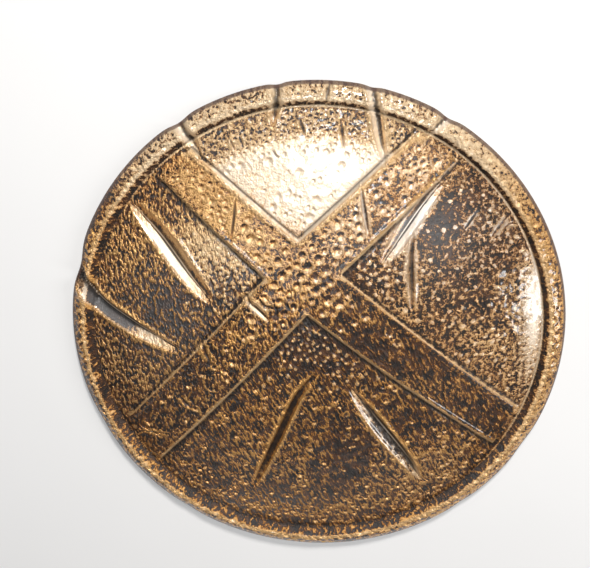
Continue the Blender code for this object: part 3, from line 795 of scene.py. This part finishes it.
def drawn_out(degrees, length):
    """The plan turned and stretched, so that the grain on it runs in beads along one direction."""
    return Paint.node("ShaderNodeMapping", {"vector_type": "TEXTURE"}, Vector=place,
                      Rotation=(0, 0, math.radians(degrees)), Scale=(1.0, length, 1.0))


# the grey is a painted sheen and the near white a painted highlight; the pale gold serves mostly as painted
# highlight
BLACK_BROWN, RED_BROWN, SHEEN_GREY = (0.012, 0.007, 0.005), (0.080, 0.029, 0.008), (0.130, 0.125, 0.125)
DEEP_GOLD, GOLD, PALE_GOLD = (0.400, 0.150, 0.028), (0.760, 0.410, 0.125), (0.860, 0.640, 0.390)
HIGHLIGHT_WHITE, HOLLOW_BLACK, EDGE_BROWN = (0.820, 0.780, 0.730), (0.012, 0.008, 0.006), (0.070, 0.030, 0.020)

bronze, shader = new_finish("antique_bronze_paint")
place = Paint.node("ShaderNodeTexCoord", out=OBJECT_PLACE)
read = {name: Paint.node("ShaderNodeAttribute", {"attribute_name": name}, out=ATTRIBUTE_VALUE)
        for name in MARKS}
tall, slant = drawn_out(6, 1.9), drawn_out(26, 2.4)
beads_up = grain(330.0, 1.6, 0.55, vector=tall)
beads_slant = grain(340.0, 2.0, 0.6, vector=slant)
speckle = grain(250.0, 2.5, 0.65)
fine_grain = grain(700.0, 2.0, 0.6, 0.2)
patches = grain(22.0, 2.0, 0.6, 0.5)
small_patches = grain(85.0, 2.0, 0.6, 0.9)

beads = read["upright"] * beads_up + read["slanting"] * beads_slant \
    + (1.0 - read["upright"] - read["slanting"]) * speckle
rough_part = 1.0 - read["calm"]
share = (read["cover"] - 0.5) * 1.1 + (patches - 0.5) * 0.22 + (small_patches - 0.5) * 0.40
proud = (beads - 0.5) * (0.35 + rough_part * 1.15) + (fine_grain - 0.5) * 0.35 + share
gilt = proud.step(-0.05, 0.11)
ground = small_patches.step(0.35, 0.65).mix(BLACK_BROWN, RED_BROWN)
# a grey painted sheen over the dark ground
ground = (read["painted_sheen"] * (0.45 + fine_grain * 0.7)).mix(ground, SHEEN_GREY)
tone = proud.step(-0.02, 0.30) + (patches - 0.5) * 0.6 + (fine_grain - 0.5) * 1.1
gilding = tone.mix(DEEP_GOLD, GOLD)
# paler gold, mostly painted highlight
gilding = (read["cream"] * (0.30 + tone * 0.60)).mix(gilding, PALE_GOLD)
# near white painted highlights on the peaks of the gilding
gilding = (read["painted_white_highlight"] * (0.1 + proud.step(0.06, 0.34) * 0.85)).mix(gilding, HIGHLIGHT_WHITE)
colour = gilt.mix(ground, gilding)
# black in the hollows, with painted shadow and painted shade where the marks put it
colour = (read["hollow"] * 0.92).mix(colour, HOLLOW_BLACK)
colour = (read["wall"] * 0.85).mix(colour, EDGE_BROWN)
bare_gilt = gilt * (1.0 - read["hollow"])
relief = beads.step(0.30, 0.70) * rough_part * 1.9 + gilt * 0.10 + fine_grain * 0.45 + small_patches * 0.6
coat(shader, "Base Color", colour)
coat(shader, "Metallic", bare_gilt * (0.85 - read["cream"] * 0.50) * (1.0 - read["dull"] * 0.6))
coat(shader, "Roughness", 0.30 - gilt * 0.04 + fine_grain * 0.08 + read["dull"] * 0.35)
coat(shader, "Coat Weight", (0.9 - read["hollow"] * 0.4) * (1.0 - read["dull"]))
coat(shader, "Coat Roughness", 0.10)
coat(shader, "Normal", Paint.node("ShaderNodeBump", Strength=1.0, Distance=0.001, Height=relief))

# the inside and the foot are left as bare black-brown plastic
bare, shader = new_finish("bare_moulded_plastic")
place = Paint.node("ShaderNodeTexCoord", out=OBJECT_PLACE)
mottle = grain(30.0, 4.0, 0.6)
orange_peel = grain(420.0, 2.0, 0.5, 0.4)
coat(shader, "Base Color", mottle.step(0.3, 0.7).mix((0.030, 0.019, 0.013), (0.046, 0.030, 0.020)))
coat(shader, "Roughness", 0.38 + mottle * 0.12)
coat(shader, "Normal", Paint.node("ShaderNodeBump", Strength=0.25, Distance=0.0004, Height=orange_peel))

shell_mesh.materials.append(bronze)
shell_mesh.materials.append(bare)
kinds = np.zeros(len(shell_mesh.polygons), dtype=np.int32)
kinds[len(outside_tris):] = 1
shell_mesh.polygons.foreach_set("material_index", kinds)
# the two corners of the foot stay sharp
sharp = shell_mesh.attributes.new("sharp_edge", "BOOLEAN", "EDGE")
ends = np.zeros(len(shell_mesh.edges) * 2, dtype=np.int32)
shell_mesh.edges.foreach_get("vertices", ends)
at_foot = np.zeros(len(shell_mesh.vertices), dtype=bool)
at_foot[outer_loop + inner_loop] = True
sharp.data.foreach_set("value", at_foot[ends[0::2]] & at_foot[ends[1::2]])
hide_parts("shell")
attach(shell, "root")


# The arm strap
# Black woven webbing with bound edges, stitched and riveted at both ends, arched across the hollow.
# Not seen in the photograph, so it is a plain guess.
GAP, CORNER_CUT, CUT_SHRINK, DIAGONAL = 0.3, 4.0, 0.586, 0.707
ARCH_FROM, ARCH_SPAN, LEAST_LOW = 0.45, 0.55, 1.0


def hold_height(hold, y):
    """Top and bottom of a strap: flat tabs at both ends and an arch between them."""
    face, inner = boss_face(hold) - GAP, hold["half"] - hold["tab"]
    arch = np.clip((np.abs(y) / inner - ARCH_FROM) / ARCH_SPAN, 0, 1)
    drop = face - hold["low"] - hold["thick"]
    top = face - drop * (1 - smooth(arch, 0, 1))
    slope = drop * 6 / (ARCH_SPAN * inner) * arch * (1 - arch)
    return top, np.maximum(top - hold["thick"] * np.sqrt(1 + slope ** 2), LEAST_LOW)


def strap_plan(hold, inset):
    """The outline of a strap with its corners cut off, drawn some way in from the edge."""
    w, half, cut = hold["width"] / 2 - inset, hold["half"] - inset, CORNER_CUT - CUT_SHRINK * inset
    corners = [(w, half - cut), (w - cut, half), (-w + cut, half), (-w, half - cut),
               (-w, -half + cut), (-w + cut, -half), (w - cut, -half), (w, -half + cut)]
    line = []
    for a, b in zip(corners, corners[1:] + corners[:1]):
        steps = max(3, round(math.dist(a, b) / 1.3))
        line += [(a[0] + (b[0] - a[0]) * k / steps, a[1] + (b[1] - a[1]) * k / steps) for k in range(steps)]
    return np.array(line)


def strap_depth(hold, x, y):
    """How far in from the outline of a strap."""
    w, half = hold["width"] / 2, hold["half"]
    from_corner = (w + half - CORNER_CUT - abs(x) - abs(y)) * DIAGONAL
    return np.minimum(np.minimum(w - abs(x), half - abs(y)), from_corner)


def hold_piece(name, hold, raised):
    """A closed strap with rounded edges and two rivet holes; raised(x, y) is added to its lower face."""
    w, half, soft = hold["width"] / 2, hold["half"], 0.45 * hold["thick"]
    x, y = [v.ravel() for v in np.meshgrid(np.arange(-w, w, 1.5), np.arange(-half, half, 1.25))]
    at_y = rivet_y(hold)
    keep = (strap_depth(hold, x, y) > soft + 0.8) & (np.hypot(x, abs(y) - at_y) > RIVET_HOLE_R + 1.4)
    holes = [ring(RIVET_HOLE_R + out, 24, 0.0, (0.0, s * at_y)) for s in (1, -1) for out in (0.0, 0.7)]
    xy, tris = triangles(np.vstack([np.column_stack([x, y])[keep]] + holes
                                   + [strap_plan(hold, soft * t) for t in (0.0, 0.12, 0.4, 1.0)]))
    middle = xy[tris].mean(axis=1)
    tris = tris[np.hypot(middle[:, 0], abs(middle[:, 1]) - at_y) > RIVET_HOLE_R * 0.95]
    x, y = xy[:, 0], xy[:, 1]
    inset = np.clip(soft - strap_depth(hold, x, y), 0, soft)
    rounding = soft - np.sqrt(np.maximum(soft ** 2 - inset ** 2, 0))
    top, low = hold_height(hold, y)
    verts = np.vstack([np.column_stack([x + hold["x"], y, top - rounding]),
                       np.column_stack([x + hold["x"], y, low + rounding - raised(x, y)])]) * MM
    n = len(xy)
    edges = {(a, b) for t in tris.tolist() for a, b in zip(t, t[1:] + t[:1])}
    sides = [(b, a, a + n, b + n) for a, b in sorted(edges) if (b, a) not in edges]
    mesh = bpy.data.meshes.new(name)
    mesh.from_pydata(verts.tolist(), [], tris.tolist() + (tris[:, ::-1] + n).tolist() + sides)
    mesh.shade_smooth()
    return placed(name, mesh)


def bound_edges(x, y):
    """The binding along both sides of the webbing, a little thicker than the rest."""
    across = 0.4 * smooth(abs(x), 15.2, 15.8) * (1 - smooth(abs(x), 18.0, 18.8))
    return across * (1 - smooth(abs(y), 77.0, 79.0))


webbing, shader = new_finish("black_webbing")
place = Paint.node("ShaderNodeTexCoord", out=OBJECT_PLACE)
rows = Paint.node("ShaderNodeTexWave", {"wave_type": "BANDS", "bands_direction": "Y"}, Vector=place,
                  Scale=190.0, Distortion=1.2, Detail=2.0)
ribs = Paint.node("ShaderNodeTexWave", {"wave_type": "BANDS", "bands_direction": "X"}, Vector=place,
                  Scale=120.0)
weave = rows * 0.6 + ribs * 0.4
coat(shader, "Base Color", weave.step(0.2, 0.9).mix((0.006, 0.006, 0.007), (0.030, 0.030, 0.032)))
coat(shader, "Roughness", 0.82)
coat(shader, "Normal", Paint.node("ShaderNodeBump", Strength=0.7, Distance=0.0006, Height=weave))
strap = hold_piece("arm_strap_webbing", STRAP, bound_edges)
strap.data.materials.append(webbing)
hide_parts("arm_strap")
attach(strap, "root")

# a box of stitches round each rivet, as short threads with pointed ends that lie half sunk in the webbing
STITCH_LENGTH, STITCH_R, STITCH_TIP_R, STITCH_PITCH, STITCH_PROUD = 2.3, 0.42, 0.02, 3.1, 0.12
STITCH_ROWS, STITCH_SIDES = (-1.0, -0.7, 0.0, 0.7, 1.0), 8
BOX_X, BOX_NEAR, BOX_FAR = 13.0, 65.6, 78.2
BOX = [(-BOX_X, BOX_NEAR), (BOX_X, BOX_NEAR), (BOX_X, BOX_FAR), (-BOX_X, BOX_FAR)]

thread, shader = new_finish("black_thread")
coat(shader, "Base Color", (0.11, 0.105, 0.10, 1.0))
coat(shader, "Roughness", 0.6)
stitch_verts, stitch_faces = [], []
for end in (1, -1):
    for a, b in zip(BOX, BOX[1:] + BOX[:1]):
        run = math.dist(a, b)
        number = int(run / STITCH_PITCH)
        ux, uy = (b[0] - a[0]) / run, (b[1] - a[1]) / run
        for k in range(number):
            gone = (k + 0.5) * run / number
            cx, cy = a[0] + ux * gone, a[1] + uy * gone
            start = len(stitch_verts)
            for u in STITCH_ROWS:
                radius = STITCH_R * math.sqrt(max(1 - u * u, 0.0)) + STITCH_TIP_R
                px, py = cx + ux * u * STITCH_LENGTH / 2, cy + uy * u * STITCH_LENGTH / 2
                z = float(hold_height(STRAP, np.array(py * end))[1]) - STITCH_PROUD
                for j in range(STITCH_SIDES):
                    turn = 2 * math.pi * j / STITCH_SIDES
                    stitch_verts.append(((STRAP["x"] + px - uy * radius * math.cos(turn)) * MM,
                                         (py + ux * radius * math.cos(turn)) * end * MM,
                                         (z - radius * math.sin(turn)) * MM))
            # the stitches of the other end are a mirror image, so their faces are turned over
            last = start + (len(STITCH_ROWS) - 1) * STITCH_SIDES
            for row in range(start, last, STITCH_SIDES):
                for j in range(STITCH_SIDES):
                    p, q = row + j, row + (j + 1) % STITCH_SIDES
                    stitch_faces.append((p, q, q + STITCH_SIDES, p + STITCH_SIDES)[::-end])
            stitch_faces.append(tuple(range(start + STITCH_SIDES - 1, start - 1, -1))[::-end])
            stitch_faces.append(tuple(range(last, last + STITCH_SIDES))[::-end])
stitch_mesh = bpy.data.meshes.new("arm_strap_stitches")
stitch_mesh.from_pydata(stitch_verts, [], stitch_faces)
stitch_mesh.shade_smooth()
stitch_mesh.materials.append(thread)
stitches = placed("arm_strap_stitches", stitch_mesh)
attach(stitches, "root")


# The hand grip
# A flat black moulded handle with finger ribs and a fine pebbled face, riveted at both ends.
# Guessed as well: a light moulding of this kind is all that such a shield has.
RIB_HEIGHT, RIB_PITCH, RIBS_HALF = 0.7, 6.0, 25.5


def finger_ribs(x, y):
    """Low ribs across the lower face, under the fingers."""
    ribs_on = RIB_HEIGHT * np.clip(np.cos(2 * math.pi * y / RIB_PITCH), 0, 1) * (abs(y) < RIBS_HALF)
    return ribs_on * (1 - smooth(abs(x), 7.5, 9.5))


moulding, shader = new_finish("black_grip_plastic")
place = Paint.node("ShaderNodeTexCoord", out=OBJECT_PLACE)
pebble = Paint.node("ShaderNodeTexVoronoi", {"feature": "SMOOTH_F1", "voronoi_dimensions": "2D"},
                    Vector=place, Scale=600.0)
coat(shader, "Base Color", pebble.step(0.1, 0.7).mix((0.022, 0.021, 0.020), (0.012, 0.012, 0.012)))
coat(shader, "Roughness", 0.55 + pebble * 0.1)
coat(shader, "Normal", Paint.node("ShaderNodeBump", Strength=0.4, Distance=0.0004, Height=1.0 - pebble))
grip = hold_piece("hand_grip_moulding", GRIP, finger_ribs)
grip.data.materials.append(moulding)
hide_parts("hand_grip")
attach(grip, "root")


# The rivets
# Small blackened steel rivets with low domed heads, rubbed bright in spots. Each passes through the end of the
# strap or the grip into its boss.
RIVET_R, RIVET_SIDES = 2.0, 32
# Radius and height below the seat of the head, from the dimple at its middle out to its edge and in to the stem
HEAD = [(0.0, 1.35), (0.8, 1.40), (1.2, 1.68), (1.7, 1.76), (2.8, 1.58), (3.8, 1.22), (4.6, 0.75), (5.05, 0.35),
        (5.2, 0.10), (5.1, 0.0), (RIVET_R, 0.0)]
# Which strap each rivet holds, and which end of it
RIVETS = {"strap_rivet_1": (STRAP, 0), "strap_rivet_2": (STRAP, 1), "grip_rivet_1": (GRIP, 0),
          "grip_rivet_2": (GRIP, 1)}

steel, shader = new_finish("blackened_rivet")
place = Paint.node("ShaderNodeTexCoord", out=OBJECT_PLACE)
rub = grain(260.0, 3.0, 0.6).step(0.45, 0.7)
coat(shader, "Base Color", rub.mix((0.028, 0.027, 0.027), (0.22, 0.21, 0.20)))
coat(shader, "Metallic", 0.9)
coat(shader, "Roughness", 0.5 - rub * 0.2)
for name, (hold, end) in RIVETS.items():
    bx, by = rivet_places(hold)[end]
    face = boss_face(hold)
    seat = face - GAP - hold["thick"] - GAP
    profile = [(radius, seat - below) for radius, below in HEAD] + [(RIVET_R, face + BOSS_HOLE - GAP)]
    verts = [(bx, by, profile[0][1])]
    for radius, z in profile[1:]:
        verts += [(px, py, z) for px, py in ring(radius, RIVET_SIDES, 0.0, (bx, by)).tolist()]
    verts.append((bx, by, profile[-1][1]))
    last = len(verts) - 1
    faces = []
    for i in range(RIVET_SIDES):
        j = (i + 1) % RIVET_SIDES
        faces.append((0, 1 + j, 1 + i))
        for k in range(len(profile) - 2):
            a, b = 1 + k * RIVET_SIDES, 1 + (k + 1) * RIVET_SIDES
            faces.append((a + i, a + j, b + j, b + i))
        faces.append((last, last - RIVET_SIDES + i, last - RIVET_SIDES + j))
    mesh = bpy.data.meshes.new(name + "_head")
    mesh.from_pydata([(a * MM, b * MM, c * MM) for a, b, c in verts], [], faces)
    mesh.shade_smooth()
    mesh.materials.append(steel)
    rivet = placed(name + "_head", mesh)
    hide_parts(name)
    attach(rivet, "root")


# The floor, the light and the camera
# A plain pale floor and five soft lights: one beside the camera for the broad shine high on the dome, one from
# beyond the top that rakes over the relief, one from the right for the bright edge there, and weak ones
# overhead and low down that fill the rest. The camera looks down at the lying shield.
FLOOR_HALF, FLOOR_DROP = 6, 0.0004
floor_corners = [(x * FLOOR_HALF, y * FLOOR_HALF, -FLOOR_DROP) for x, y in ((-1, -1), (1, -1), (1, 1), (-1, 1))]
floor_mesh = bpy.data.meshes.new("floor")
floor_mesh.from_pydata(floor_corners, [], [(0, 1, 2, 3)])
floor = placed("floor", floor_mesh)
pale, shader = new_finish("pale_floor")
place = Paint.node("ShaderNodeTexCoord", out=OBJECT_PLACE)
coat(shader, "Base Color", grain(3.0).step(0.2, 0.8).mix((0.80, 0.80, 0.80), (0.82, 0.82, 0.82)))
coat(shader, "Roughness", 0.9)
coat(shader, "Specular IOR Level", 0.1)
floor_mesh.materials.append(pale)

world = bpy.data.worlds.new("studio")
world.use_nodes = True
background = world.node_tree.nodes["Background"]
background.inputs["Color"].default_value = (0.86, 0.88, 0.92, 1.0)
background.inputs["Strength"].default_value = 0.15
bpy.context.scene.world = world
bpy.context.scene.view_settings.view_transform = "Standard"


def soft_light(name, place_at, aim, size, power, colour):
    data = bpy.data.lights.new(name, "AREA")
    data.shape, data.size, data.size_y = "RECTANGLE", size[0], size[1]
    data.energy, data.color = power, colour
    light = placed(name, data)
    light.location = place_at
    light.rotation_euler = (Vector(aim) - Vector(place_at)).to_track_quat("-Z", "Y").to_euler()


soft_light("shine", (0.05, 0.79, 1.83), (0.0, 0.08, 0.0), (0.54, 0.34), 12.0, (0.98, 0.99, 1.0))
soft_light("top", (0.40, 1.70, 1.35), (0.0, 0.05, 0.0), (0.45, 0.35), 40.0, (1.0, 0.97, 0.93))
soft_light("right", (1.60, -0.40, 0.95), (0.2, 0.0, 0.0), (0.30, 0.80), 11.0, (1.0, 0.98, 0.96))
soft_light("overhead", (-0.4, 0.2, 2.2), (0.0, 0.0, 0.0), (1.2, 0.9), 6.5, (1.0, 0.98, 0.96))
soft_light("low", (0.0, -2.0, 0.9), (0.0, -0.1, 0.0), (2.4, 0.9), 2.4, (1.0, 0.96, 0.93))

camera_data = bpy.data.cameras.new("photo_view")
camera_data.sensor_width, camera_data.lens = 36.0, 72.0226
camera = placed("photo_view", camera_data)
camera_place = (0.03358, 0.42594, 1.12240)
right_axis, up_axis = (0.99886, -0.00623, -0.04727), (-0.00927, 0.94711, -0.32077)
back_axis = (0.04677, 0.32084, 0.94598)
turned = Matrix((right_axis, up_axis, back_axis)).transposed().to_4x4()
camera.matrix_world = Matrix.Translation(camera_place) @ turned
bpy.context.scene.camera = camera

bpy.context.view_layer.update()
